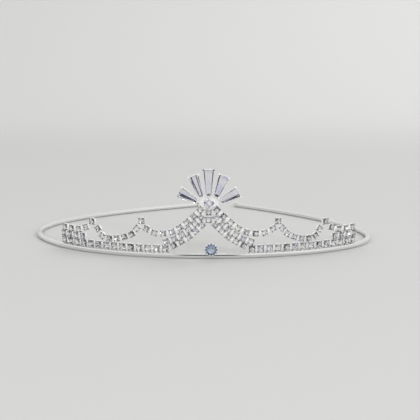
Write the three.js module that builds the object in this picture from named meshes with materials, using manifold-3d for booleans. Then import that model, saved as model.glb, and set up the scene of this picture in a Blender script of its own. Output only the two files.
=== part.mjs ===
// A bridal tiara in millimetres. +X runs along the front, +Y from the crown to the open back, +Z is up.
// The origin is the underside of the band's wire at the middle of the front, below the fan.
// The crown's pieces are laid out on the upright wall over the front of the band: "along" is the
// distance along the wire from the middle of the front, and "up" is the height over the rest plane.
import * as THREE from "three";
import { mergeVertices } from "three/addons/utils/BufferGeometryUtils.js";
import Module from "manifold-3d";

const wasm = await Module();
wasm.setup();

// Band: an open loop of round wire, part of an ellipse in front and one free arm on each side.
const WIRE_D = 2.2;
const FRONT_HALF_WIDTH = 70;
const FRONT_HALF_DEPTH = 40;
const FRONT_HALF_ANGLE = 61.6;
const LEFT_ARM = { tip: [-6.5, 109.6], frontPull: 59, tipPull: 31, tipAngle: 26 };
const RIGHT_ARM = { tip: [14.8, 108.5], frontPull: 20, tipPull: 70, tipAngle: 38 };
const WIRE_STEPS = 96;
const TIP_BALL_R = 1.55;

// Crystal cells: one round stone in a shallow cup, linked to its neighbours as a cup chain.
const CELL_R = 1.36;
const BASE_CELL_R = 1.55;
const CELL_SIDES = 8;
const CELL_BACK = 0.9;
const CELL_RIM = 0.3;
const STONE_RISE = 0.9;
const TABLE_SHARE = 0.57;
const LINK = 0.7;
const SEAT_WALL = 0.25;
const SEAT_FLOOR = 0.4;
const SEAT_GAP = 0.05;
const SOLDER_GAP = 0.03;

// Rows of the crown, as [along, up] of the cells' centres. The left side mirrors the right, apart
// from two lines that bend a little differently around the right inner peak.
const FLAT_SHARE = Math.cos(Math.PI / CELL_SIDES);
const BASE_UP = WIRE_D + SOLDER_GAP + BASE_CELL_R * FLAT_SHARE;
const END_MIDDLE_UP = BASE_UP + (BASE_CELL_R + CELL_R) * FLAT_SHARE + SOLDER_GAP;
const END_TOP_UP = END_MIDDLE_UP + 2 * CELL_R * FLAT_SHARE + SOLDER_GAP;
const STRANDS = {
  base_row: { cells: 14, radius: BASE_CELL_R, line: [[16.9, BASE_UP], [62.6, BASE_UP]] },
  inner_arch: { cells: 5, line: [[2.6, 13.3], [7.6, 8.6], [13.6, 5]] },
  middle_arch: { cells: 6, line: [[2.95, 16.3], [7.9, 11.4], [13.1, 7.8], [16.5, 6.55]] },
  outer_arch: { cells: 8, line: [[3.2, 19.3], [8.5, 14.3], [14.2, 10.4], [20.6, 9.7], [24.45, 11.3]] },
  festoon: { cells: 7, line: [[28.25, 11.3], [31.2, 8.4], [38.1, 6.6], [43, 7.2], [45.2, 10]] },
  end_middle_row: { cells: 4, line: [[52.6, END_MIDDLE_UP], [63.1, END_MIDDLE_UP]] },
  end_top_row: { cells: 4, line: [[50.9, 10.1], [54.6, END_TOP_UP], [62.3, END_TOP_UP]] },
};
const RIGHT_LINES = {
  outer_arch: [[3.2, 19.3], [8.5, 14.3], [14.2, 10.4], [21.1, 9.7], [25.3, 11.3]],
  festoon: [[29.1, 11.4], [32.2, 8.4], [38.1, 6.6], [43, 7.2], [45.2, 10]],
};
const INNER_PEAKS = { left: [-26.35, 14.4], right: [27.3, 14.2] };
const OUTER_PEAKS = { left: [-47.9, 12.7], right: [47.9, 12.7] };
const CREST_DROP = [[0, 15.3], [0, 18.3]];

// Fan: a round hub stone under five tapered baguettes, each in an open tray, all on one round plate.
const HUB = [0.15, 21.9];
const HUB_R = 2;
const PLATE_R = 3.8;
const PLATE_THICK = 0.5;
const BAGUETTE = { outer: 4, inner: 1.8, thick: 2, bevel: 0.5 };
const TRAY = { wall: 0.25, floor: 0.4, lip: 1.1 };
const FAN = {
  outer_left: { tilt: -62, tip: [-11.3, 26.2], length: 7.5 },
  inner_left: { tilt: -21, tip: [-5.9, 32.3], length: 8.3 },
  centre: { tilt: 0, tip: [0, 34.7], length: 9.8 },
  inner_right: { tilt: 21, tip: [5.9, 32.3], length: 8.3 },
  outer_right: { tilt: 62, tip: [11.3, 26.2], length: 7.5 },
};

// The blue stone is fixed to the front of the wire, in the opening under the fan.
const BLUE = [0.95, 3.95];
const BLUE_R = 2.65;
const BLUE_FORWARD = WIRE_D / 2 + SOLDER_GAP + CELL_BACK;

const SILVER = { color: 0xd9dade, roughness: 0.12, metalness: 1 };
const CRYSTAL = { color: 0xe9ecf2, roughness: 0.02, metalness: 0 };
const BLUE_CRYSTAL = { color: 0x3f5f94, roughness: 0.02, metalness: 0 };

const radians = THREE.MathUtils.degToRad;
const tiara = new THREE.Group();

function piece(name, geometry, finish) {
  const mesh = new THREE.Mesh(geometry, new THREE.MeshStandardMaterial(finish));
  mesh.name = name;
  tiara.add(mesh);
  return mesh;
}

// A closed geometry as a solid that can be joined and cut.
function solid(geometry) {
  const bare = geometry.index ? geometry.clone() : mergeVertices(geometry);
  bare.deleteAttribute("normal");
  bare.deleteAttribute("uv");
  const merged = mergeVertices(bare, 1e-4);
  const corners = merged.index.array;
  const triangles = [];
  for (let i = 0; i < corners.length; i += 3) {
    const [a, b, c] = corners.slice(i, i + 3);
    if (a !== b && b !== c && c !== a) triangles.push(a, b, c);
  }
  const mesh = new wasm.Mesh({
    numProp: 3,
    vertProperties: merged.attributes.position.array,
    triVerts: new Uint32Array(triangles),
  });
  return new wasm.Manifold(mesh);
}

function geometryOf(body) {
  const { vertProperties, triVerts } = body.getMesh();
  const geometry = new THREE.BufferGeometry();
  geometry.setAttribute("position", new THREE.BufferAttribute(vertProperties, 3));
  geometry.setIndex(new THREE.BufferAttribute(triVerts, 1));
  geometry.computeVertexNormals();
  return geometry;
}

// The front of the band, from its left end to its right end, at the wire's centre height.
class FrontArc extends THREE.Curve {
  getPoint(t, target = new THREE.Vector3()) {
    const angle = radians(FRONT_HALF_ANGLE) * (2 * t - 1);
    const x = FRONT_HALF_WIDTH * Math.sin(angle);
    const y = FRONT_HALF_DEPTH * (1 - Math.cos(angle));
    return target.set(x, y, WIRE_D / 2);
  }
}

const front = new FrontArc();
const frontLength = front.getLength();

// A free arm, from the front arc's end to its tip. side is -1 for the left arm and 1 for the right.
function arm(side, { tip, frontPull, tipPull, tipAngle }) {
  const end = side < 0 ? 0 : 1;
  const start = front.getPoint(end);
  const leave = front.getTangent(end).multiplyScalar(side * frontPull);
  const finish = new THREE.Vector3(tip[0], tip[1], WIRE_D / 2);
  const angle = radians(tipAngle);
  const arrive = new THREE.Vector3(side * Math.cos(angle), -Math.sin(angle), 0).multiplyScalar(tipPull);
  return new THREE.CubicBezierCurve3(start, start.clone().add(leave), finish.clone().add(arrive), finish);
}

const leftArm = arm(-1, LEFT_ARM);
const rightArm = arm(1, RIGHT_ARM);

function reversed(curve) {
  return new THREE.CubicBezierCurve3(curve.v3, curve.v2, curve.v1, curve.v0);
}

// Round wire as a regular octagon with a flat side down, so that the band rests on a real face.
function addBand() {
  const route = new THREE.CurvePath();
  route.curves.push(reversed(leftArm), front, rightArm);
  const sides = 8;
  const cornerR = WIRE_D / 2 / Math.cos(Math.PI / sides);
  const section = new THREE.Shape();
  for (let i = 0; i < sides; i += 1) {
    const angle = ((i + 0.5) * 2 * Math.PI) / sides;
    const corner = [cornerR * Math.cos(angle), cornerR * Math.sin(angle)];
    if (i === 0) section.moveTo(...corner);
    else section.lineTo(...corner);
  }
  const options = { steps: WIRE_STEPS, extrudePath: route, bevelEnabled: false };
  piece("headband_wire", new THREE.ExtrudeGeometry(section, options), SILVER);
}

// A ball on a free end, turned about the wire's line, with a flat where it meets the wire's end.
function addTipBall(name, curve) {
  const flatR = WIRE_D / 2;
  const flatAngle = Math.asin(flatR / TIP_BALL_R);
  const flatBack = TIP_BALL_R * Math.cos(flatAngle);
  const profile = [new THREE.Vector2(0, -flatBack)];
  const arcSteps = 6;
  for (let i = 0; i < arcSteps; i += 1) {
    const angle = Math.PI - flatAngle - ((Math.PI - flatAngle) * i) / arcSteps;
    profile.push(new THREE.Vector2(TIP_BALL_R * Math.sin(angle), TIP_BALL_R * Math.cos(angle)));
  }
  profile.push(new THREE.Vector2(0, TIP_BALL_R));
  const ball = piece(name, new THREE.LatheGeometry(profile, 10), SILVER);
  const outward = curve.getTangent(1);
  ball.quaternion.setFromUnitVectors(new THREE.Vector3(0, 1, 0), outward);
  ball.position.copy(curve.getPoint(1)).addScaledVector(outward, flatBack + SOLDER_GAP);
  ball.position.z = TIP_BALL_R;
}

// The wall's own axes at a place: x along the wire, y to the inside of the band, z up.
function wallMatrix([along, up]) {
  const share = 0.5 + along / frontLength;
  const place = front.getPointAt(share);
  place.z = up;
  const tangent = front.getTangentAt(share);
  const upward = new THREE.Vector3(0, 0, 1);
  const inward = new THREE.Vector3().crossVectors(upward, tangent);
  return new THREE.Matrix4().makeBasis(tangent, inward, upward).setPosition(place);
}

// A turned shape whose axis points out of the wall, from [radius, forward] pairs.
function turned(pairs) {
  const profile = pairs.map(([r, forward]) => new THREE.Vector2(r, forward));
  const geometry = new THREE.LatheGeometry(profile, CELL_SIDES, Math.PI / CELL_SIDES);
  geometry.rotateX(Math.PI);
  return geometry;
}

function cell(radius) {
  return turned([
    [0, -CELL_BACK],
    [radius, -CELL_BACK],
    [radius, CELL_RIM],
    [radius * TABLE_SHARE, STONE_RISE],
    [0, STONE_RISE],
  ]);
}

function cup(radius) {
  return turned([
    [0, -CELL_BACK],
    [radius, -CELL_BACK],
    [radius, CELL_RIM],
    [radius - SEAT_WALL, CELL_RIM],
    [radius - SEAT_WALL, SEAT_FLOOR - CELL_BACK],
    [0, SEAT_FLOOR - CELL_BACK],
  ]);
}

function stone(radius) {
  const girdle = radius - SEAT_WALL - SEAT_GAP;
  const foot = SEAT_FLOOR - CELL_BACK + SEAT_GAP;
  return turned([
    [0, foot],
    [girdle * 0.3, foot],
    [girdle, CELL_RIM - 0.1],
    [girdle, CELL_RIM + 0.1],
    [radius * TABLE_SHARE, STONE_RISE],
    [0, STONE_RISE],
  ]);
}

// A square bar between the centres of two neighbouring cells.
function link(from, to) {
  const middle = new THREE.Vector3().addVectors(from, to).multiplyScalar(0.5);
  const bar = new THREE.BoxGeometry(from.distanceTo(to), LINK, LINK);
  const run = new THREE.Vector3().subVectors(to, from).normalize();
  const turn = new THREE.Quaternion().setFromUnitVectors(new THREE.Vector3(1, 0, 0), run);
  return bar.applyQuaternion(turn).translate(middle.x, middle.y, middle.z);
}

function chainOf(places, radius) {
  const matrices = places.map(wallMatrix);
  let body = solid(cell(radius).applyMatrix4(matrices[0]));
  for (let i = 1; i < matrices.length; i += 1) {
    const from = new THREE.Vector3().setFromMatrixPosition(matrices[i - 1]);
    const to = new THREE.Vector3().setFromMatrixPosition(matrices[i]);
    body = body.add(solid(link(from, to))).add(solid(cell(radius).applyMatrix4(matrices[i])));
  }
  return geometryOf(body);
}

function spacedPlaces(line, cells, side) {
  const route = new THREE.SplineCurve(line.map(([along, up]) => new THREE.Vector2(along, up)));
  return route.getSpacedPoints(cells - 1).map((point) => [side * point.x, point.y]);
}

function addStrands(sideName, side) {
  for (const [name, { cells, line, radius }] of Object.entries(STRANDS)) {
    const sideLine = side > 0 && name in RIGHT_LINES ? RIGHT_LINES[name] : line;
    const places = spacedPlaces(sideLine, cells, side);
    piece(`${name}_${sideName}`, chainOf(places, radius ?? CELL_R), SILVER);
  }
}

// A single stone in its own cup, moved forward out of the wall by some distance.
function addSetStone(name, place, radius, finish, forward = 0) {
  const matrix = wallMatrix(place).multiply(new THREE.Matrix4().makeTranslation(0, -forward, 0));
  piece(`${name}_cup`, cup(radius).applyMatrix4(matrix), SILVER);
  piece(`${name}_stone`, stone(radius).applyMatrix4(matrix), finish);
}

// A tapered plan, wide end up, with its inner end at height 0 and grown by a margin on all sides.
function wedge(length, margin) {
  const plan = new THREE.Shape();
  const outer = BAGUETTE.outer / 2 + margin;
  const inner = BAGUETTE.inner / 2 + margin;
  plan.moveTo(-inner, -margin);
  plan.lineTo(inner, -margin);
  plan.lineTo(outer, length + margin);
  plan.lineTo(-outer, length + margin);
  return plan;
}

// Extrudes a plan that stands upright, from one forward distance to another.
function slab(plan, back, forward) {
  const block = new THREE.ExtrudeGeometry(plan, { depth: forward - back, bevelEnabled: false });
  return block.rotateX(Math.PI / 2).translate(0, -back, 0);
}

function baguette(length) {
  const { thick, bevel } = BAGUETTE;
  const options = {
    depth: thick - bevel,
    bevelThickness: bevel,
    bevelSize: bevel,
    bevelOffset: -bevel,
    bevelSegments: 1,
  };
  const gem = new THREE.ExtrudeGeometry(wedge(length, 0), options);
  const back = TRAY.floor - CELL_BACK + SEAT_GAP + bevel;
  return gem.rotateX(Math.PI / 2).translate(0, -back, 0);
}

function tray(length) {
  const outside = slab(wedge(length, TRAY.wall + SEAT_GAP), -CELL_BACK, TRAY.lip - CELL_BACK);
  const pocket = slab(wedge(length, SEAT_GAP), TRAY.floor - CELL_BACK, TRAY.lip);
  return geometryOf(solid(outside).subtract(solid(pocket)));
}

function addFan() {
  const middle = wallMatrix([0, 0]);
  for (const [name, { tilt, tip, length }] of Object.entries(FAN)) {
    const angle = radians(tilt);
    const foot = [tip[0] - length * Math.sin(angle), 0, tip[1] - length * Math.cos(angle)];
    const place = new THREE.Matrix4().makeRotationY(angle).setPosition(...foot).premultiply(middle);
    piece(`fan_${name}_tray`, tray(length).applyMatrix4(place), SILVER);
    piece(`fan_${name}_baguette`, baguette(length).applyMatrix4(place), CRYSTAL);
  }
  addSetStone("fan_hub", HUB, HUB_R, CRYSTAL);
  const plate = piece("fan_backplate", new THREE.CylinderGeometry(PLATE_R, PLATE_R, PLATE_THICK, 32), SILVER);
  plate.position.set(HUB[0], CELL_BACK + SOLDER_GAP + PLATE_THICK / 2, HUB[1]);
}

addBand();
addTipBall("tip_ball_left", leftArm);
addTipBall("tip_ball_right", rightArm);
addStrands("left", -1);
addStrands("right", 1);
for (const sideName of ["left", "right"]) {
  addSetStone(`inner_peak_${sideName}`, INNER_PEAKS[sideName], CELL_R, CRYSTAL);
  addSetStone(`outer_peak_${sideName}`, OUTER_PEAKS[sideName], CELL_R, CRYSTAL);
}
piece("crest_drop", chainOf(CREST_DROP, CELL_R), SILVER);
addFan();
addSetStone("blue", BLUE, BLUE_R, BLUE_CRYSTAL, BLUE_FORWARD);

export default tiara;
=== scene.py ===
"""A bridal tiara: a wire band, a wall of claw-set crystals, a baguette fan and one blue stone.

Lengths in the tables and templates are millimetres; MM turns them into Blender's metres.
Stones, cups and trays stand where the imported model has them: their places are read from its flat faces.
"""
import math
import random

import bmesh
import bpy
from mathutils import Matrix, Vector


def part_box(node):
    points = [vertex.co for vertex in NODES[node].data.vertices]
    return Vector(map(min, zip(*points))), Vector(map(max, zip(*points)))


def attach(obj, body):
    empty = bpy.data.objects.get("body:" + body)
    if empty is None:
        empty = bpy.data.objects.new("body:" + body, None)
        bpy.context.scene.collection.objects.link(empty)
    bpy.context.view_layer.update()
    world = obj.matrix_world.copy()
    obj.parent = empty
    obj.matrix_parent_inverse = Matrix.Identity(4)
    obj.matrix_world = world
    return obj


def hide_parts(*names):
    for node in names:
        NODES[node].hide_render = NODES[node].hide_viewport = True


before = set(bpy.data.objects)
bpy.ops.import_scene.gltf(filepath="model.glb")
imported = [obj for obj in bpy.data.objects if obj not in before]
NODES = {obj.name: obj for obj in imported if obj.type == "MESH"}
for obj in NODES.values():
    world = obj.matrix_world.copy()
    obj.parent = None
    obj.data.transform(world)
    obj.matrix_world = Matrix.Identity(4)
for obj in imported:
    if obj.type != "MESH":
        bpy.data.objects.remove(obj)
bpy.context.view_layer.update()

MM = 0.001
UP = Vector((0, 0, 1))
FRONT = Vector((0, -1, 0))
BODY = "root"
POLE_R = 0.02

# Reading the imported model: cosines, then millimetres
SAME_PLANE = 0.99999
UPRIGHT = 0.01
LOOKS_FORWARD = -0.1
LOOKS_BACK = 0.99
AT_CENTRE = 0.1
REGULAR = 0.01
FOOT_HEIGHT = 0.01

# Decimals of a millimetre, and of a metre, in which the same corner agrees
MM_DIGITS = 3
M_DIGITS = 6

# Cells are sorted by distance from the middle, and by height only where that is the same
SIDE_BEFORE_HEIGHT = 1000

# Wire and its ball tips. The neck is (radius, height) pairs from the wire's end outwards.
WIRE_R = 1.1
WIRE_SIDES = 24
ROUTE_STEPS = 5
BALL_R = 1.55
BALL_STEPS = 14
BALL_SIDES = 28
NECK_R = 1.16
NECK = [(NECK_R - 0.1, -0.35), (NECK_R, -0.25), (NECK_R, -0.05)]

# Rows of the wall, on each side
ROWS = (
    "base_row", "inner_arch", "middle_arch", "outer_arch", "festoon", "end_middle_row", "end_top_row",
)
PEAKS = ("inner_peak", "outer_peak")
PEAK_R = 1.28

# Cells of the cup chain, with z out of the wall and 0 at the wall's middle plane
TABLE_SHARE = 0.57
TABLE_CORNERS = 8
CELL_TABLE_FORWARD = 0.9
STONE_SHARE = 0.89
STONE_TILT = 5

# Cups: (share of the cup's half width, z) outside and (share of the stone's radius, z) at the seat
CUP_OUTSIDE = [(0.8, -0.9), (0.93, -0.8), (1, 0), (1, 0.06), (0.98, 0.16), (0.94, 0.21)]
CUP_SEAT = [(1.01, 0.17), (1, 0.08), (0.4, -0.78)]
CUP_STEPS = 32
CUP_HALF = 0.19
CUP_CORNER = 0.37

# Claws, whose finish is silver painted dark: a painted dark reflection
CLAWS = 4
CLAW_WIDTH = 0.44
CLAW_TOP = 0.62
CLAW_THICK = 0.1
CLAW_SIDES = 8
CLAW_SET_BACK = 0.12
CLAW_GRIP = 0.84

# Flat links between cups
LINK_HALF_HEIGHT = 0.62
LINK_BACK = -0.6
LINK_FRONT = -0.1
LINK_SOFT = 0.08
LINK_HIDDEN = 1.8

# Round stones: shares of the radius, and the heights of the rim
FACETS = 8
STONE_TABLE = 0.6
STONE_STAR = 0.83
STONE_RISE = 0.2
STONE_CULET = 0.3
STONE_BREAK = 0.42
STONE_DEPTH = 0.4
RIM_TOP = 0.3
RIM_LOW = 0.23

# The hub: a round cup with two claws painted dark, left and right, a painted dark reflection, and four
# bright ones between them
HUB_STONE_R = 1.6
HUB_STONE_DEPTH = 0.36
HUB_CUP_R = 1.86
HUB_PAINTED_DARK_CLAWS = 2
HUB_BRIGHT_CLAWS = [math.pi / 3 * step for step in (1, 2, 4, 5)]
HUB_CLAW_WIDTH = 0.95

# The blue stone
BLUE_STONE_R = 2.1
BLUE_STONE_DEPTH = 0.34
BLUE_CUP_R = 2.5
BLUE_CLAWS = 12
BLUE_CLAW_WIDTH = 0.48

# Trays of the fan: (inset, height) pairs of their skin, then their claws
TRAY_SKIN = [
    (0.2, -0.9), (0.08, -0.85), (0, -0.75), (0, 0.1), (0.05, 0.15), (0.2, 0.15), (0.24, 0.1), (0.3, -0.6),
]
TRAY_CLAW_INSET = 0.1
TRAY_CLAW_AIM = 1.2
TRAY_CLAW_FOLD = 0.5
TRAY_CLAW_WIDTH = 0.5
TRAY_CLAW_TOP = 0.7
TRAY_MIDDLE = 5

# Baguettes: steps along the length as (distance from the foot, or back from the head, and table height)
BAGUETTE_STEPS = [(0.0, 0.44), (0.4, 0.56), (0.9, 0.64), (-1.1, 0.64), (-0.5, 0.56), (-0.001, 0.44)]
BAGUETTE_INSET = 0.26
TABLE_HALF = 0.62
EDGE_LOW = 0.15
EDGE_TOP = 0.4
BACK_HALF = 0.97
BACK_EDGE = -0.05
BACK_KEEL = -0.26
GLASS_SLOT, FOIL_SLOT, GROOVE_PAINTED_DARK_SLOT = 0, 1, 2

# Grooves along the backs of the baguettes, their foil painted dark as a painted dark reflection, as
# (middle, half width) in shares of the half width
STREAK_CUT = 0.06
STREAKS = {
    "outer_left": [(-0.12, 0.1)],
    "inner_left": [(-0.5, 0.11), (0.5, 0.08)],
    "centre": [(-0.8, 0.05), (0.8, 0.06)],
    "inner_right": [(-0.75, 0.08)],
    "outer_right": [(0.8, 0.1), (0.48, 0.06)],
}

# The plate behind the fan: (share of the radius, share of the half thickness) from back to front
PLATE_EDGE = [(0.9, -1), (1, -0.4), (1, 0.3), (0.97, 0.7), (0.8, 0.8)]
PLATE_SIDES = 64

# Solder beads between neighbouring cells and at the feet of low ones: (least, most) radius
BEAD_REACH = 3.25
BEAD_R = (0.42, 0.55)
BEAD_FLATNESS = 0.6
BEAD_BEHIND = 0.55
BEAD_STEPS = 6
BEAD_SIDES = 10
LOW_CELL = 4
FOOT_BEAD_R = (0.5, 0.65)
FOOT_BEAD_FLATNESS = 0.7
FOOT_BEAD_BEHIND = 0.4

# Edges sharper than these many degrees stay crisp
CUP_SHARP = 40
WIRE_SHARP = 50
TRAY_SHARP = 35
SOLDER_SHARP = 60

# Materials
RIPPLE = 0.02
GRAIN_DETAIL = 4
GLASS_IOR = 1.58
TINT_SPREAD = (0.45, 0.62)
TINT_SHADE = 0.95
TINT_PATCH = 900

# Paper: it rises in one curve far behind the object. Tones are near and far; the lighter far tone is
# painted light on the rising part.
FLOOR_HALF = 3.0
SWEEP_START = 0.5
SWEEP_R = 0.4
SWEEP_ANGLE = 1.1
SWEEP_STEPS = 40
PAPER_TONES = ((0.6, 0.6, 0.59), (0.66, 0.66, 0.65))
PAPER_PAINTED_LIGHT_SPAN = (0.3, 0.6)
PAPER_GRAIN = 60
PAPER_SPECK = 0.05
PAPER_ROUGHNESS = 0.7
PAPER_SHEEN = 0.15

# Room: a direction's part along each axis, where a dark area begins, is full, is full still, and ends
ROOM = (0.79, 0.79, 0.79)
SOFTBOX = (0.45, -0.5, 0.65)
SOFTBOX_TONE = (0.92, 0.92, 0.92)
SOFTBOX_EDGE = (0.8, 0.97)
DARK_TONE = (0.02, 0.02, 0.03)
LOW_GAP_Z = (0.04, 0.1, 0.16, 0.24)
LOW_GAP_X = (0.45, 0.7)
FIGURE_Z = (0.0, 0.03, 0.66, 0.78)
FIGURE_X = (-0.26, -0.16, 0.16, 0.26)
BEHIND_CAMERA = (0.0, 0.3)

# Lamps as (name, place, aim, size, power, seen through glass), in metres and watts
AIM = (0, 0.04, 0.01)
LAMPS = [
    ("key", (0.3, -1.5, 0.75), AIM, 1.4, 13.5, False),
    ("sweep_wash", (0.6, 0.5, 0.9), (0.3, 1.0, 0.1), 0.6, 2.6, False),
    ("glint_left", (-0.55, -0.6, 0.6), AIM, 0.05, 0.3, True),
    ("glint_high", (0.2, -0.6, 0.85), AIM, 0.05, 0.3, True),
    ("glint_right", (0.5, -0.7, 0.3), AIM, 0.07, 0.9, True),
]

# Camera
CAMERA_AT = (0.0005, -0.33625, 0.08316)
CAMERA_DOWN = 10.771
CAMERA_LENS = 76.16
CAMERA_SENSOR = 36
CAMERA_CLIP = (0.01, 50)

rng = random.Random(7)


# ---------------------------------------------------------------- places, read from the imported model

def flat_patches(node):
    """The flat faces of a CAD node, each as (area, centre, normal, corners), in metres."""
    mesh = NODES[node].data
    group = list(range(len(mesh.polygons)))

    def root(i):
        while group[i] != i:
            i = group[i]
        return i

    touching = {}
    for face in mesh.polygons:
        for index in face.vertices:
            key = tuple(round(c / MM, MM_DIGITS) for c in mesh.vertices[index].co)
            for other in touching.setdefault(key, []):
                if face.normal.dot(mesh.polygons[other].normal) > SAME_PLANE:
                    group[root(face.index)] = root(other)
            touching[key].append(face.index)
    patches = {}
    for face in mesh.polygons:
        patches.setdefault(root(face.index), []).append(face)
    found = []
    for faces in patches.values():
        area = sum(face.area for face in faces)
        centre = sum((face.center * face.area for face in faces), Vector()) / area
        corners = {
            tuple(round(c, M_DIGITS) for c in mesh.vertices[i].co)
            for face in faces for i in face.vertices
        }
        found.append((area, centre, faces[0].normal.copy(), [Vector(c) for c in corners]))
    return found


def place(centre, outward, forward=0.0):
    """A frame with z out of the wall and y up, from a point that lies that far forward of its origin."""
    outward = Vector((outward.x, outward.y, 0)).normalized()
    across = UP.cross(outward)
    turn = Matrix((across, UP, outward)).transposed().to_4x4()
    return Matrix.Translation(centre - outward * forward * MM) @ turn


def rim_reaches(patch):
    """How far each corner of a flat face is from its centre, without a corner at the centre itself."""
    reach = [(corner - patch[1]).length for corner in patch[3]]
    return [r for r in reach if r > AT_CENTRE * MM]


def is_table(patch):
    """Whether a flat face is a cell's front: a regular octagon that looks out of the wall."""
    normal = patch[2]
    if abs(normal.z) > UPRIGHT or normal.y > 0:
        return False
    reach = rim_reaches(patch)
    return len(reach) == TABLE_CORNERS and max(reach) - min(reach) < REGULAR * MM


def cell_places(node):
    """Every cell of a chain in order, x along the chain, and the cells' stone radius in millimetres."""
    tables = [patch for patch in flat_patches(node) if is_table(patch)]
    tables.sort(key=lambda p: abs(p[1].x) * SIDE_BEFORE_HEIGHT - p[1].z)
    cell_r = max(rim_reaches(tables[0])) / MM / TABLE_SHARE
    places = [place(centre, normal, CELL_TABLE_FORWARD) for _, centre, normal, _ in tables]
    turned = []
    for i, here in enumerate(places):
        before = places[max(i - 1, 0)].translation
        after = places[min(i + 1, len(places) - 1)].translation
        turned.append(along_chain(here, after - before))
    return turned, STONE_SHARE * cell_r


def along_chain(here, step):
    """A place turned in the wall's plane, so that its x follows a step along the chain."""
    run = here.to_3x3().inverted() @ step
    return here @ Matrix.Rotation(math.atan2(run.y, run.x), 4, "Z")


def single_place(node):
    """The place of a set stone, from the table of its CAD stone."""
    upright = [p for p in flat_patches(node) if abs(p[2].z) < UPRIGHT and p[2].y < LOOKS_FORWARD]
    _, centre, normal, _ = max(upright, key=lambda p: p[0])
    return place(centre, normal, CELL_TABLE_FORWARD)


# ---------------------------------------------------------------- mesh building

class Shape:
    """Corners and faces of one piece. Corners are millimetres until they are placed."""

    def __init__(self):
        self.corners = []
        self.faces = []
        self.slots = []

    def add(self, part, at=None, slot=0):
        corners, faces = part
        start = len(self.corners)
        scale = Matrix.Scale(MM, 4)
        move = (at if at is not None else Matrix.Identity(4)) @ scale
        self.corners += [move @ Vector(c) for c in corners]
        self.faces += [[start + i for i in face] for face in faces]
        self.slots += [slot] * len(faces)

    def mesh(self, name, materials, sharp_angle=None):
        mesh = bpy.data.meshes.new(name)
        mesh.from_pydata(self.corners, [], self.faces)
        for material in materials:
            mesh.materials.append(material)
        mesh.polygons.foreach_set("material_index", self.slots)
        mesh.validate()
        if sharp_angle is not None:
            mesh.polygons.foreach_set("use_smooth", [True] * len(mesh.polygons))
            mesh.set_sharp_from_angle(angle=math.radians(sharp_angle))
        mesh.update()
        return mesh


def show(name, mesh, replaces=(), at=None):
    """Adds a piece that rides on the one body, in place of the CAD nodes it replaces."""
    piece = bpy.data.objects.new(name, mesh)
    bpy.context.scene.collection.objects.link(piece)
    if at is not None:
        piece.matrix_world = at
    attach(piece, BODY)
    if replaces:
        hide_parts(*replaces)


def loft(rings):
    """A skin over rings of equal length, with its ends closed."""
    count = len(rings[0])
    corners = [c for ring in rings for c in ring]
    faces = []
    for r in range(len(rings) - 1):
        for i in range(count):
            j = (i + 1) % count
            faces.append([r * count + i, r * count + j, (r + 1) * count + j, (r + 1) * count + i])
    faces.append(list(range(count))[::-1])
    last = (len(rings) - 1) * count
    faces.append([last + i for i in range(count)])
    return corners, faces


def circle_point(radius, step, steps, z):
    angle = 2 * math.pi * step / steps
    return (radius * math.cos(angle), radius * math.sin(angle), z)


def lathe(profile, sides):
    """Turns (radius, height) pairs about z."""
    return loft([[circle_point(r, i, sides, z) for i in range(sides)] for r, z in profile])


def face_outwards(mesh):
    """Turns every face of a closed skin outwards."""
    work = bmesh.new()
    work.from_mesh(mesh)
    bmesh.ops.recalc_face_normals(work, faces=work.faces)
    work.to_mesh(mesh)
    work.free()


# ---------------------------------------------------------------- materials

def new_material(name):
    material = bpy.data.materials.new(name)
    material.use_nodes = True
    nodes = material.node_tree.nodes
    return material, nodes, material.node_tree.links, nodes["Principled BSDF"]


def silver(name, color, roughness, grain, bump, metal=1):
    """Polished plating: fine uneven gloss, from its least roughness to its most, and a faint ripple."""
    material, nodes, links, surface = new_material(name)
    surface.inputs["Base Color"].default_value = (*color, 1)
    surface.inputs["Metallic"].default_value = metal
    coords = nodes.new("ShaderNodeTexCoord")
    noise = nodes.new("ShaderNodeTexNoise")
    noise.inputs["Scale"].default_value = grain
    noise.inputs["Detail"].default_value = GRAIN_DETAIL
    links.new(coords.outputs["Object"], noise.inputs["Vector"])
    spread = nodes.new("ShaderNodeMapRange")
    spread.inputs["To Min"].default_value, spread.inputs["To Max"].default_value = roughness
    links.new(noise.outputs["Fac"], spread.inputs["Value"])
    links.new(spread.outputs["Result"], surface.inputs["Roughness"])
    ripple = nodes.new("ShaderNodeBump")
    ripple.inputs["Strength"].default_value = bump
    ripple.inputs["Distance"].default_value = RIPPLE * MM
    links.new(noise.outputs["Fac"], ripple.inputs["Height"])
    links.new(ripple.outputs["Normal"], surface.inputs["Normal"])
    return material


def crystal(name, color, cast=None, patch=TINT_PATCH):
    """Clear cut glass with an unevenness in its tint, towards a cast where there is one."""
    material, nodes, links, surface = new_material(name)
    surface.inputs["Roughness"].default_value = 0
    surface.inputs["IOR"].default_value = GLASS_IOR
    surface.inputs["Transmission Weight"].default_value = 1
    coords = nodes.new("ShaderNodeTexCoord")
    noise = nodes.new("ShaderNodeTexNoise")
    noise.inputs["Scale"].default_value = patch
    links.new(coords.outputs["Object"], noise.inputs["Vector"])
    spread = nodes.new("ShaderNodeMapRange")
    spread.inputs["From Min"].default_value, spread.inputs["From Max"].default_value = TINT_SPREAD
    links.new(noise.outputs["Fac"], spread.inputs["Value"])
    tint = nodes.new("ShaderNodeMix")
    tint.data_type = "RGBA"
    tint.inputs["A"].default_value = (*color, 1)
    tint.inputs["B"].default_value = (*(cast or [TINT_SHADE * c for c in color]), 1)
    links.new(spread.outputs["Result"], tint.inputs["Factor"])
    links.new(tint.outputs["Result"], surface.inputs["Base Color"])
    return material


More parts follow.
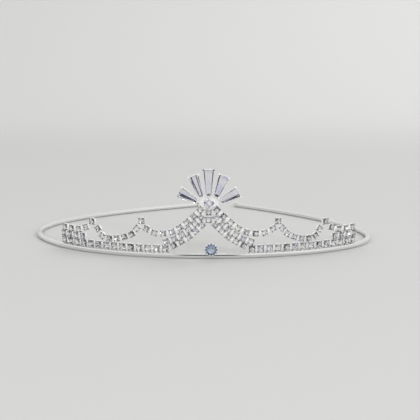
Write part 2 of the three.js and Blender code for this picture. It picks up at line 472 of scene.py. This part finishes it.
SILVER_WIRE = silver("silver_wire", (0.84, 0.84, 0.83), (0.04, 0.08), grain=300, bump=0.15, metal=0.92)
SILVER_CUP = silver("silver_cup", (0.97, 0.97, 0.97), (0.2, 0.35), grain=900, bump=0.35, metal=0.45)
# Claw finish: silver painted dark, a painted dark reflection of the dark room the claws mirror
CLAW_PAINTED_DARK = silver("claw", (0.24, 0.24, 0.25), (0.1, 0.25), grain=1200, bump=0.3)
# Navy claw finish: silver painted dark and bluish, a painted dark reflection
CLAW_PAINTED_NAVY = silver("claw_painted_navy", (0.16, 0.18, 0.3), (0.1, 0.25), grain=1200, bump=0.3)
SOLDER = silver("solder", (0.8, 0.8, 0.8), (0.25, 0.45), grain=1500, bump=0.8)
FOIL = silver("foil_back", (0.95, 0.95, 0.955), (0.02, 0.06), grain=1200, bump=0.1, metal=0.92)
FOIL_LILAC = silver("foil_lilac", (0.94, 0.935, 0.965), (0.02, 0.06), grain=1200, bump=0.1, metal=0.92)
FOIL_WARM = silver("foil_warm", (0.96, 0.945, 0.925), (0.02, 0.06), grain=1200, bump=0.1, metal=0.92)
FOIL_BLUE = silver("foil_blue", (0.76, 0.81, 0.88), (0.03, 0.08), grain=1200, bump=0.1, metal=0.85)
# Foil of the baguettes' grooves: painted dark, a painted dark reflection
GROOVE_PAINTED_DARK_FOIL = silver("foil_groove_painted_dark", (0.05, 0.06, 0.13), (0.1, 0.2), grain=1200, bump=0.1)
CLEAR = crystal("crystal_clear", (1, 1, 1))
LILAC = crystal("crystal_lilac", (0.98, 0.97, 1))
WARM = crystal("crystal_warm", (1, 0.997, 0.99))
BAGUETTE_GLASS = crystal("crystal_baguette", (0.985, 0.985, 1), cast=(0.9, 0.905, 0.99), patch=260)
VIOLET_GLASS = crystal("crystal_violet_flash", (0.98, 0.98, 1), cast=(0.74, 0.74, 1), patch=330)
BLUE_GLASS = crystal("crystal_blue", (0.8, 0.87, 0.97))

# Looks of the wall's stones as (name, glass, foil, depth of the back, share of the stones)
STONE_LOOKS = [
    ("clear_flat", CLEAR, FOIL, 0.3, 0.3),
    ("clear", CLEAR, FOIL, 0.4, 0.3),
    ("clear_deep", CLEAR, FOIL, 0.52, 0.2),
    ("lilac", LILAC, FOIL_LILAC, 0.38, 0.12),
    ("warm", WARM, FOIL_WARM, 0.34, 0.08),
]


# ---------------------------------------------------------------- round stones and their cups

def brilliant(radius, depth):
    """A round stone: (corners, crown, back) of one closed skin. Kite facets are truly flat."""
    table_r = STONE_TABLE * radius
    table_z = RIM_TOP + STONE_RISE * radius
    point_z = RIM_LOW - depth * radius
    flat = math.cos(math.pi / FACETS)
    star_r = STONE_STAR * radius
    star_z = table_z + (RIM_TOP - table_z) * (star_r * flat - table_r) / (radius - table_r)

    def back_ring(r):
        z = point_z + (RIM_LOW - point_z) * r * flat / radius
        return [circle_point(r, i + 0.5, FACETS, z) for i in range(FACETS)]

    corners = []
    corners += [circle_point(table_r, i, FACETS, table_z) for i in range(FACETS)]
    corners += [circle_point(star_r, i + 0.5, FACETS, star_z) for i in range(FACETS)]
    corners += [circle_point(radius, i, 2 * FACETS, RIM_TOP) for i in range(2 * FACETS)]
    corners += [circle_point(radius, i, 2 * FACETS, RIM_LOW) for i in range(2 * FACETS)]
    corners += back_ring(STONE_BREAK * radius)
    corners += back_ring(STONE_CULET * radius)
    star, top, low, lower, last = (rings * FACETS for rings in (1, 2, 4, 6, 7))
    crown = [list(range(FACETS))]
    back = [[last + i for i in range(FACETS)][::-1]]
    for i in range(FACETS):
        after = (i + 1) % FACETS
        before = (i - 1) % FACETS
        next_edge = (2 * i + 2) % (2 * FACETS)
        crown.append([i, star + i, after])
        crown.append([i, star + before, top + 2 * i, star + i])
        crown.append([star + i, top + 2 * i, top + 2 * i + 1])
        crown.append([star + i, top + 2 * i + 1, top + next_edge])
        back.append([last + before, last + i, lower + i, low + 2 * i, lower + before])
        back.append([lower + i, low + 2 * i + 1, low + 2 * i])
        back.append([lower + i, low + next_edge, low + 2 * i + 1])
    for i in range(2 * FACETS):
        j = (i + 1) % (2 * FACETS)
        crown.append([top + i, low + i, low + j, top + j])
    return corners, crown, back


def stone_mesh(name, radius, glass, foil, depth=STONE_DEPTH):
    """A round stone with a glass crown over a foiled back."""
    corners, crown, back = brilliant(radius, depth)
    stone = Shape()
    stone.add((corners, crown + back))
    stone.slots = [GLASS_SLOT] * len(crown) + [FOIL_SLOT] * len(back)
    return stone.mesh(name, [glass, foil])


def prong(reach, fold, width, top):
    """One claw that climbs a cup's wall at x = reach and folds inwards over the stone's edge."""
    path = [  # x, z and share of the full thickness
        (reach - 0.02, -0.45, 0.9),
        (reach + 0.03, -0.05, 1),
        (reach + 0.03, top - 0.3, 1),
        (reach - 0.3 * fold, top - 0.08, 1),
        (reach - 0.8 * fold, top, 0.9),
        (reach - fold, top - 0.02, 0.4),
    ]
    rings = []
    for k, (x, z, size) in enumerate(path):
        ahead = path[min(k + 1, len(path) - 1)]
        behind = path[max(k - 1, 0)]
        run = Vector((ahead[0] - behind[0], 0, ahead[1] - behind[1])).normalized()
        normal = Vector((run.z, 0, -run.x))
        ring = []
        for i in range(CLAW_SIDES):
            angle = 2 * math.pi * (i + 0.5) / CLAW_SIDES
            point = Vector((x, 0, z)) + normal * CLAW_THICK * size * math.cos(angle)
            point.y += width / 2 * size * math.sin(angle)
            ring.append(tuple(point))
        rings.append(ring)
    return loft(rings)


def rounded_square(half, corner, z):
    """A ring that is flat on four sides and rounded at its corners."""
    ring = []
    for i in range(CUP_STEPS):
        angle = 2 * math.pi * i / CUP_STEPS
        reach = min(half / max(abs(math.cos(angle)), abs(math.sin(angle))), corner)
        ring.append((reach * math.cos(angle), reach * math.sin(angle), z))
    return ring


def cup_skin(stone_r, half, corner):
    """A cup's closed skin: a rounded square outside and a round seat for the stone inside."""
    rings = [rounded_square(size * half, size * corner, z) for size, z in CUP_OUTSIDE]
    rings += [rounded_square(size * stone_r, size * stone_r, z) for size, z in CUP_SEAT]
    return loft(rings)


def cup_part(stone_r, half, corner, claws, claw_width, first_turn):
    """A cup and its claws, as a list of (part, turn about z, slot)."""
    parts = [(cup_skin(stone_r, half, corner), 0.0, 0)]
    reach = corner - CLAW_SET_BACK
    claw = prong(reach, reach - CLAW_GRIP * stone_r, claw_width, CLAW_TOP)
    for i in range(claws):
        parts.append((claw, first_turn + 2 * math.pi * i / claws, 1))
    return parts


def square_cup(stone_r):
    """A cell's cup, with a claw at each corner."""
    return cup_part(stone_r, stone_r + CUP_HALF, stone_r + CUP_CORNER, CLAWS, CLAW_WIDTH, math.pi / 4)


def link_part(length):
    """A flat bar along x that joins two cups behind their stones."""
    side, back, front, soft = LINK_HALF_HEIGHT, LINK_BACK, LINK_FRONT, LINK_SOFT
    section = [
        (-side, back + soft), (-side + soft, back), (side - soft, back), (side, back + soft),
        (side, front - soft), (side - soft, front), (-side + soft, front), (-side, front - soft),
    ]
    return loft([[(x, y, z) for y, z in section] for x in (-length / 2, length / 2)])


def stone_set(radius):
    """One mesh of each look for stones of a radius."""
    size = round(10 * radius)
    stones = []
    for look, glass, foil, depth, _ in STONE_LOOKS:
        stones.append(stone_mesh(f"stone_{look}_{size}", radius, glass, foil, depth))
    return stones


def add_cup(shape, parts, at):
    for part, turn, slot in parts:
        shape.add(part, at @ Matrix.Rotation(turn, 4, "Z"), slot)


def tilted(at):
    """The same place, a little askew and turned, as a hand-set stone sits."""
    lean = math.radians(STONE_TILT)
    nod = Matrix.Rotation(rng.uniform(-lean, lean), 4, "X")
    sway = Matrix.Rotation(rng.uniform(-lean, lean), 4, "Y")
    return at @ nod @ sway @ Matrix.Rotation(rng.uniform(0, math.pi / 4), 4, "Z")


def add_chain(node, stones_of):
    """A chain's cups and links as one piece, and each of its stones as a piece."""
    places, stone_r = cell_places(node)
    size = round(stone_r, 2)
    if size not in stones_of:
        stones_of[size] = stone_set(stone_r)
    cup = square_cup(stone_r)
    shares = [look[-1] for look in STONE_LOOKS]
    chain = Shape()
    for i, at in enumerate(places):
        add_cup(chain, cup, at)
        if i:
            before = places[i - 1].translation
            step = at.translation - before
            middle = place(before.lerp(at.translation, 0.5), at.col[2].to_3d())
            chain.add(link_part(step.length / MM - LINK_HIDDEN * stone_r), along_chain(middle, step))
        stone = rng.choices(stones_of[size], shares)[0]
        show(f"{node}_stone_{i + 1:02d}", stone, at=tilted(at))
    # The claws take the finish painted dark, a painted dark reflection
    mesh = chain.mesh(f"{node}_cups", [SILVER_CUP, CLAW_PAINTED_DARK], CUP_SHARP)
    show(f"{node}_cups", mesh, [node])
    return places


def add_set_stone(name, cup, claw_finish, stone):
    """A single stone and its cup."""
    at = single_place(f"{name}_stone")
    setting = Shape()
    add_cup(setting, cup, at)
    mesh = setting.mesh(f"{name}_claw_cup", [SILVER_CUP, claw_finish], CUP_SHARP)
    show(f"{name}_claw_cup", mesh, [f"{name}_cup"])
    show(f"{name}_cut_stone", stone, [f"{name}_stone"], tilted(at))
    return at


def add_wall():
    """Every row, both pairs of peaks and the middle drop. Gives the places of all the cells."""
    places = []
    stones_of = {}
    peak_cup = square_cup(PEAK_R)
    peak_stone = stone_mesh("peak_stone", PEAK_R, CLEAR, FOIL)
    for side in ("left", "right"):
        for row in ROWS:
            places += add_chain(f"{row}_{side}", stones_of)
        for peak in PEAKS:
            # The peaks' claws are painted dark too, a painted dark reflection
            places.append(add_set_stone(f"{peak}_{side}", peak_cup, CLAW_PAINTED_DARK, peak_stone))
    return places + add_chain("crest_drop", stones_of)


def add_hub():
    """The round stone where the baguettes meet. Gives its place."""
    # Two claws take the navy finish painted dark, a painted dark reflection; the four bright ones are
    # plain silver
    cup = cup_part(HUB_STONE_R, HUB_CUP_R, HUB_CUP_R, HUB_PAINTED_DARK_CLAWS, HUB_CLAW_WIDTH, 0)
    claw = cup[-1][0]
    cup += [(claw, turn, 0) for turn in HUB_BRIGHT_CLAWS]
    stone = stone_mesh("hub_stone", HUB_STONE_R, LILAC, FOIL_LILAC, HUB_STONE_DEPTH)
    return add_set_stone("fan_hub", cup, CLAW_PAINTED_NAVY, stone)


def add_blue_stone():
    """The blue stone that stands at the middle of the band, in a ring of fine claws."""
    cup = cup_part(BLUE_STONE_R, BLUE_CUP_R, BLUE_CUP_R, BLUE_CLAWS, BLUE_CLAW_WIDTH, 0)
    stone = stone_mesh("blue_stone_cut", BLUE_STONE_R, BLUE_GLASS, FOIL_BLUE, BLUE_STONE_DEPTH)
    # Its claws take the navy finish painted dark, a painted dark reflection
    add_set_stone("blue", cup, CLAW_PAINTED_NAVY, stone)


# ---------------------------------------------------------------- the band

def wire_route():
    """Points along the wire's centre, left end to right end, from the flat under the CAD wire."""
    wire = NODES["headband_wire"].data
    seen = {tuple(round(c / MM, MM_DIGITS) for c in v.co) for v in wire.vertices}
    flat = [Vector(c) for c in seen if c[2] < FOOT_HEIGHT]
    middles = []
    while flat:
        corner = flat.pop()
        mate = min(flat, key=lambda other: (other - corner).length)
        flat.remove(mate)
        middles.append((corner + mate) / 2 + UP * WIRE_R)
    here = max((m for m in middles if m.x < 0), key=lambda m: m.y)
    route = [here]
    middles.remove(here)
    while middles:
        here = min(middles, key=lambda m: (m - here).length)
        middles.remove(here)
        route.append(here)
    return route


def smooth_route(points):
    """Catmull-Rom points between the given ones."""
    dense = []
    for i in range(len(points) - 1):
        a = points[max(i - 1, 0)]
        b = points[i]
        c = points[i + 1]
        d = points[min(i + 2, len(points) - 1)]
        for k in range(ROUTE_STEPS):
            t = k / ROUTE_STEPS
            bend = (2 * a - 5 * b + 4 * c - d) * t * t + (3 * b - a - 3 * c + d) * t**3
            dense.append(0.5 * (2 * b + (c - a) * t + bend))
    return dense + [points[-1]]


def add_band():
    """The round wire along the CAD wire's route, with a ball at each end."""
    route = smooth_route(wire_route())
    rings = []
    for i, point in enumerate(route):
        run = (route[min(i + 1, len(route) - 1)] - route[max(i - 1, 0)]).normalized()
        side = UP.cross(run)
        ring = []
        for k in range(WIRE_SIDES):
            angle = 2 * math.pi * k / WIRE_SIDES
            ring.append(tuple(point + (side * math.cos(angle) + UP * math.sin(angle)) * WIRE_R))
        rings.append(ring)
    wire = Shape()
    wire.add(loft(rings))
    mesh = wire.mesh("headband_round_wire", [SILVER_WIRE], WIRE_SHARP)
    show("headband_round_wire", mesh, ["headband_wire"])
    add_tip("tip_ball_left", route[0], (route[0] - route[1]).normalized())
    add_tip("tip_ball_right", route[-1], (route[-1] - route[-2]).normalized())


def add_tip(node, end, outward):
    """A ball with a short neck over the wire's end, turned about the wire's line and resting as low."""
    start = math.asin(NECK_R / BALL_R)
    centre = BALL_R * math.cos(start)
    profile = list(NECK)
    for i in range(BALL_STEPS):
        angle = math.pi - start - (math.pi - start) * i / BALL_STEPS
        profile.append((BALL_R * math.sin(angle), centre + BALL_R * math.cos(angle)))
    profile.append((POLE_R, centre + BALL_R))
    ball = Shape()
    turn = UP.rotation_difference(outward).to_matrix().to_4x4()
    lift = UP * (BALL_R - WIRE_R)
    ball.add(lathe(profile, BALL_SIDES), Matrix.Translation((end + lift) * MM) @ turn)
    mesh = ball.mesh(f"{node}_turned", [SILVER_WIRE], WIRE_SHARP)
    show(f"{node}_turned", mesh, [node])


# ---------------------------------------------------------------- the fan

def inset(outline, distance):
    """An outline of (across, along) corners, each side moved in by that distance."""
    count = len(outline)
    moved = []
    for i in range(count):
        before, here, after = outline[i - 1], outline[i], outline[(i + 1) % count]
        first = (here - before).normalized()
        second = (after - here).normalized()
        inward_first = Vector((-first.y, first.x))
        inward_second = Vector((-second.y, second.x))
        bisector = (inward_first + inward_second).normalized()
        moved.append(here + bisector * distance / bisector.dot(inward_first))
    return moved


def tray_plan(node):
    """A tray's place and its outline, from the flat back of the CAD tray."""
    backs = [p for p in flat_patches(node) if p[2].y > LOOKS_BACK]
    corners = max(backs, key=lambda p: p[1].y)[3]
    hub = (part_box("fan_hub_cup")[0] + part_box("fan_hub_cup")[1]) / 2
    corners.sort(key=lambda c: (c - hub).length)
    foot = (corners[0] + corners[1]) / 2
    head = (corners[2] + corners[3]) / 2
    along = (head - foot).normalized()
    across = along.cross(FRONT)
    turn = Matrix((across, along, FRONT)).transposed().to_4x4()
    at = Matrix.Translation(foot + FRONT * CELL_TABLE_FORWARD * MM) @ turn
    flat = [at.inverted() @ c / MM for c in corners]
    flat = [Vector((c.x, c.y)) for c in flat]
    centre = sum(flat, Vector((0, 0))) / len(flat)
    flat.sort(key=lambda c: math.atan2(c.y - centre.y, c.x - centre.x))
    return at, flat


def tray_shape(outline, at, painted_dark_claws):
    """A tray with a claw at each corner. The claws at its head can be painted dark, a painted dark
    reflection.
    """
    tray = Shape()
    tray.add(loft([[(c.x, c.y, z) for c in inset(outline, d)] for d, z in TRAY_SKIN]), at)
    claw = prong(0, TRAY_CLAW_FOLD, TRAY_CLAW_WIDTH, TRAY_CLAW_TOP)
    for corner, aim in zip(inset(outline, TRAY_CLAW_INSET), inset(outline, TRAY_CLAW_AIM)):
        inward = aim - corner
        turn = Matrix.Rotation(math.atan2(-inward.y, -inward.x), 4, "Z")
        spot = Matrix.Translation(Vector((corner.x, corner.y, 0)) * MM) @ turn
        tray.add(claw, at @ spot, int(painted_dark_claws and corner.y > TRAY_MIDDLE))
    return tray


def baguette_section(half, top, streaks):
    """The stone across its length, from its left edge over the table and back below: (x, z) and slots."""
    crown = [
        (-half, EDGE_LOW), (-half, EDGE_TOP), (-TABLE_HALF * half, top),
        (TABLE_HALF * half, top), (half, EDGE_TOP), (half, EDGE_LOW),
    ]
    back = [(BACK_HALF, BACK_EDGE)]
    slots = [GLASS_SLOT] * len(crown)
    for middle, reach in sorted(streaks, reverse=True):
        for u, cut in ((middle + reach, 0), (middle, STREAK_CUT), (middle - reach, 0)):
            back.append((u, BACK_KEEL + (BACK_EDGE - BACK_KEEL) * abs(u) + cut))
        # The groove's two faces take the foil painted dark, a painted dark reflection
        slots += [FOIL_SLOT, GROOVE_PAINTED_DARK_SLOT, GROOVE_PAINTED_DARK_SLOT]
    back.append((-BACK_HALF, BACK_EDGE))
    return crown + [(u * half, z) for u, z in back], slots + [FOIL_SLOT, GLASS_SLOT]


def baguette_mesh(name, outline, glass, streaks):
    """A step-cut tapered stone: clear at its edges, foiled behind, with grooves along its back whose foil
    is painted dark, a painted dark reflection.
    """
    low = sorted(outline, key=lambda c: c.y)
    foot, head = low[0].y, low[3].y
    foot_half, head_half = abs(low[0].x - low[1].x) / 2, abs(low[2].x - low[3].x) / 2
    rings = []
    for along, top in BAGUETTE_STEPS:
        y = foot + along if along >= 0 else head + along
        half = foot_half + (head_half - foot_half) * (y - foot) / (head - foot)
        section, slots = baguette_section(half, top, streaks)
        rings.append([(x, y, z) for x, z in section])
    stone = Shape()
    stone.add(loft(rings))
    stone.slots = slots * (len(rings) - 1) + [GLASS_SLOT, GLASS_SLOT]
    mesh = stone.mesh(name, [glass, FOIL_LILAC, GROOVE_PAINTED_DARK_FOIL])
    face_outwards(mesh)
    return mesh


def add_fan():
    """Five baguettes in their trays, and the plate that carries them."""
    for direction, streaks in STREAKS.items():
        name = f"fan_{direction}"
        at, outline = tray_plan(f"{name}_tray")
        # The centre tray's head claws are painted dark, a painted dark reflection
        tray = tray_shape(outline, at, direction == "centre")
        mesh = tray.mesh(f"{name}_claw_tray", [SILVER_CUP, CLAW_PAINTED_NAVY], TRAY_SHARP)
        show(f"{name}_claw_tray", mesh, [f"{name}_tray"])
        glass = VIOLET_GLASS if direction == "inner_right" else BAGUETTE_GLASS
        stone = baguette_mesh(f"{name}_cut_baguette", inset(outline, BAGUETTE_INSET), glass, streaks)
        show(f"{name}_cut_baguette", stone, [f"{name}_baguette"], at)
    add_backplate()


def add_backplate():
    """The round plate that carries the hub and the trays, with a soft edge and a low dome."""
    low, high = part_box("fan_backplate")
    centre = (low + high) / 2
    half = (high.y - low.y) / 2 / MM
    radius = (high.x - low.x) / 2 / MM
    edge = [(r * radius, z * half) for r, z in PLATE_EDGE]
    plate = Shape()
    plate.add(lathe([(POLE_R, -half)] + edge + [(POLE_R, half)], PLATE_SIDES), place(centre, FRONT))
    mesh = plate.mesh("fan_round_plate", [SILVER_CUP], CUP_SHARP)
    show("fan_round_plate", mesh, ["fan_backplate"])


# ---------------------------------------------------------------- solder

def bead(radius, flatness):
    """A flattened drop of solder."""
    profile = [(POLE_R, -radius * flatness)]
    for i in range(1, BEAD_STEPS):
        angle = math.pi - math.pi * i / BEAD_STEPS
        profile.append((radius * math.sin(angle), radius * flatness * math.cos(angle)))
    return lathe(profile + [(POLE_R, radius * flatness)], BEAD_SIDES)


def add_solder(places):
    """Small beads behind the wall, where cups of different rows come close or stand on the wire."""
    solder = Shape()
    points = [at.translation for at in places]
    for i, first in enumerate(points):
        outward = places[i].col[2].to_3d()
        for j in range(i + 1, len(points)):
            if (points[j] - first).length / MM < BEAD_REACH:
                middle = place(first.lerp(points[j], 0.5), outward, BEAD_BEHIND)
                solder.add(bead(rng.uniform(*BEAD_R), BEAD_FLATNESS), middle)
        if first.z / MM < LOW_CELL:
            foot = place(Vector((first.x, first.y, 2 * WIRE_R * MM)), outward, FOOT_BEAD_BEHIND)
            solder.add(bead(rng.uniform(*FOOT_BEAD_R), FOOT_BEAD_FLATNESS), foot)
    show("solder_joints", solder.mesh("solder_joints", [SOLDER], SOLDER_SHARP))


# ---------------------------------------------------------------- stage, light and camera

def ramp(nodes, links, value, low, high, falls=False):
    """0 to 1 as value goes from low to high, smoothly, or 1 to 0."""
    step = nodes.new("ShaderNodeMapRange")
    step.interpolation_type = "SMOOTHSTEP"
    step.inputs["From Min"].default_value = low
    step.inputs["From Max"].default_value = high
    if falls:
        step.inputs["To Min"].default_value = 1
        step.inputs["To Max"].default_value = 0
    links.new(value, step.inputs["Value"])
    return step.outputs["Result"]


def combine(nodes, links, operation, first, second):
    result = nodes.new("ShaderNodeMath")
    result.operation = operation
    links.new(first, result.inputs[0])
    links.new(second, result.inputs[1])
    return result.outputs["Value"]


def between(nodes, links, value, band):
    """1 where value is in the middle of a band, 0 outside it."""
    rise = ramp(nodes, links, value, *band[:2])
    fall = ramp(nodes, links, value, *band[2:], falls=True)
    return combine(nodes, links, "MULTIPLY", rise, fall)


def floor_material():
    """Pale matt paper with a faint grain, made lighter towards the back with painted light."""
    material, nodes, links, surface = new_material("pale_paper")
    surface.inputs["Roughness"].default_value = PAPER_ROUGHNESS
    surface.inputs["Specular IOR Level"].default_value = PAPER_SHEEN
    coords = nodes.new("ShaderNodeTexCoord")
    grain = nodes.new("ShaderNodeTexNoise")
    grain.inputs["Scale"].default_value = PAPER_GRAIN
    links.new(coords.outputs["Object"], grain.inputs["Vector"])
    tone = nodes.new("ShaderNodeMix")
    tone.data_type = "RGBA"
    tone.inputs["A"].default_value = (*PAPER_TONES[0], 1)
    tone.inputs["B"].default_value = (*PAPER_TONES[1], 1)
    parts = nodes.new("ShaderNodeSeparateXYZ")
    links.new(coords.outputs["Object"], parts.inputs["Vector"])
    grain_and_painted_light = nodes.new("ShaderNodeMath")
    grain_and_painted_light.operation = "MULTIPLY_ADD"
    links.new(grain.outputs["Fac"], grain_and_painted_light.inputs[0])
    grain_and_painted_light.inputs[1].default_value = PAPER_SPECK
    # Painted light: the paper turns to the lighter far tone where it rises behind the object
    links.new(ramp(nodes, links, parts.outputs["Y"], *PAPER_PAINTED_LIGHT_SPAN), grain_and_painted_light.inputs[2])
    links.new(grain_and_painted_light.outputs["Value"], tone.inputs["Factor"])
    links.new(tone.outputs["Result"], surface.inputs["Base Color"])
    return material


def add_floor():
    """A paper sweep: flat under the object, rising in one smooth curve far behind it."""
    profile = [(-FLOOR_HALF, 0.0), (SWEEP_START, 0.0)]
    for i in range(1, SWEEP_STEPS + 1):
        angle = SWEEP_ANGLE * i / SWEEP_STEPS
        profile.append((SWEEP_START + SWEEP_R * math.sin(angle), SWEEP_R * (1 - math.cos(angle))))
    corners = [(x, y, z) for y, z in profile for x in (-FLOOR_HALF, FLOOR_HALF)]
    faces = [[2 * i, 2 * i + 1, 2 * i + 3, 2 * i + 2] for i in range(len(profile) - 1)]
    mesh = bpy.data.meshes.new("paper_sweep")
    mesh.from_pydata(corners, [], faces)
    mesh.polygons.foreach_set("use_smooth", [True] * len(mesh.polygons))
    mesh.materials.append(floor_material())
    floor = bpy.data.objects.new("paper_sweep", mesh)
    bpy.context.scene.collection.objects.link(floor)


def add_world():
    """A pale studio with a dark figure and a low dark gap behind the camera, which polish reflects."""
    world = bpy.data.worlds.new("studio")
    bpy.context.scene.world = world
    world.use_nodes = True
    nodes = world.node_tree.nodes
    links = world.node_tree.links
    coords = nodes.new("ShaderNodeTexCoord")
    parts = nodes.new("ShaderNodeSeparateXYZ")
    links.new(coords.outputs["Generated"], parts.inputs["Vector"])
    x, y, z = parts.outputs
    low_gap = between(nodes, links, z, LOW_GAP_Z)
    low_gap = combine(nodes, links, "MULTIPLY", low_gap, ramp(nodes, links, x, *LOW_GAP_X, falls=True))
    figure = between(nodes, links, z, FIGURE_Z)
    figure = combine(nodes, links, "MULTIPLY", figure, between(nodes, links, x, FIGURE_X))
    dark = combine(nodes, links, "MAXIMUM", low_gap, figure)
    dark = combine(nodes, links, "MULTIPLY", dark, ramp(nodes, links, y, *BEHIND_CAMERA, falls=True))
    towards = nodes.new("ShaderNodeVectorMath")
    towards.operation = "DOT_PRODUCT"
    towards.inputs[1].default_value = Vector(SOFTBOX).normalized()
    links.new(coords.outputs["Generated"], towards.inputs[0])
    lit = nodes.new("ShaderNodeMix")
    lit.data_type = "RGBA"
    lit.inputs["A"].default_value = (*ROOM, 1)
    lit.inputs["B"].default_value = (*SOFTBOX_TONE, 1)
    links.new(ramp(nodes, links, towards.outputs["Value"], *SOFTBOX_EDGE), lit.inputs["Factor"])
    room = nodes.new("ShaderNodeMix")
    room.data_type = "RGBA"
    links.new(lit.outputs["Result"], room.inputs["A"])
    room.inputs["B"].default_value = (*DARK_TONE, 1)
    links.new(dark, room.inputs["Factor"])
    links.new(room.outputs["Result"], nodes["Background"].inputs["Color"])


def add_lights():
    """Two broad soft lamps for the paper, and three small ones that only the stones pick up."""
    for name, at, aim, size, power, through_glass in LAMPS:
        data = bpy.data.lights.new(name, "AREA")
        data.shape = "DISK"
        data.size = size
        data.energy = power
        lamp = bpy.data.objects.new(name, data)
        bpy.context.scene.collection.objects.link(lamp)
        lamp.location = at
        lamp.rotation_mode = "QUATERNION"
        lamp.rotation_quaternion = (Vector(aim) - Vector(at)).to_track_quat("-Z", "Y")
        lamp.visible_glossy = False
        lamp.visible_transmission = through_glass


def add_camera():
    """A long lens a little above the table, level with the band's front."""
    data = bpy.data.cameras.new("camera")
    data.lens = CAMERA_LENS
    data.sensor_width = CAMERA_SENSOR
    data.clip_start, data.clip_end = CAMERA_CLIP
    camera = bpy.data.objects.new("camera", data)
    bpy.context.scene.collection.objects.link(camera)
    camera.location = CAMERA_AT
    camera.rotation_euler = (math.radians(90 - CAMERA_DOWN), 0, 0)
    bpy.context.scene.camera = camera


add_band()
cells = add_wall()
cells.append(add_hub())
add_blue_stone()
add_fan()
add_solder(cells)
add_floor()
add_world()
add_lights()
add_camera()
bpy.context.scene.view_settings.view_transform = "Standard"
bpy.context.view_layer.update()
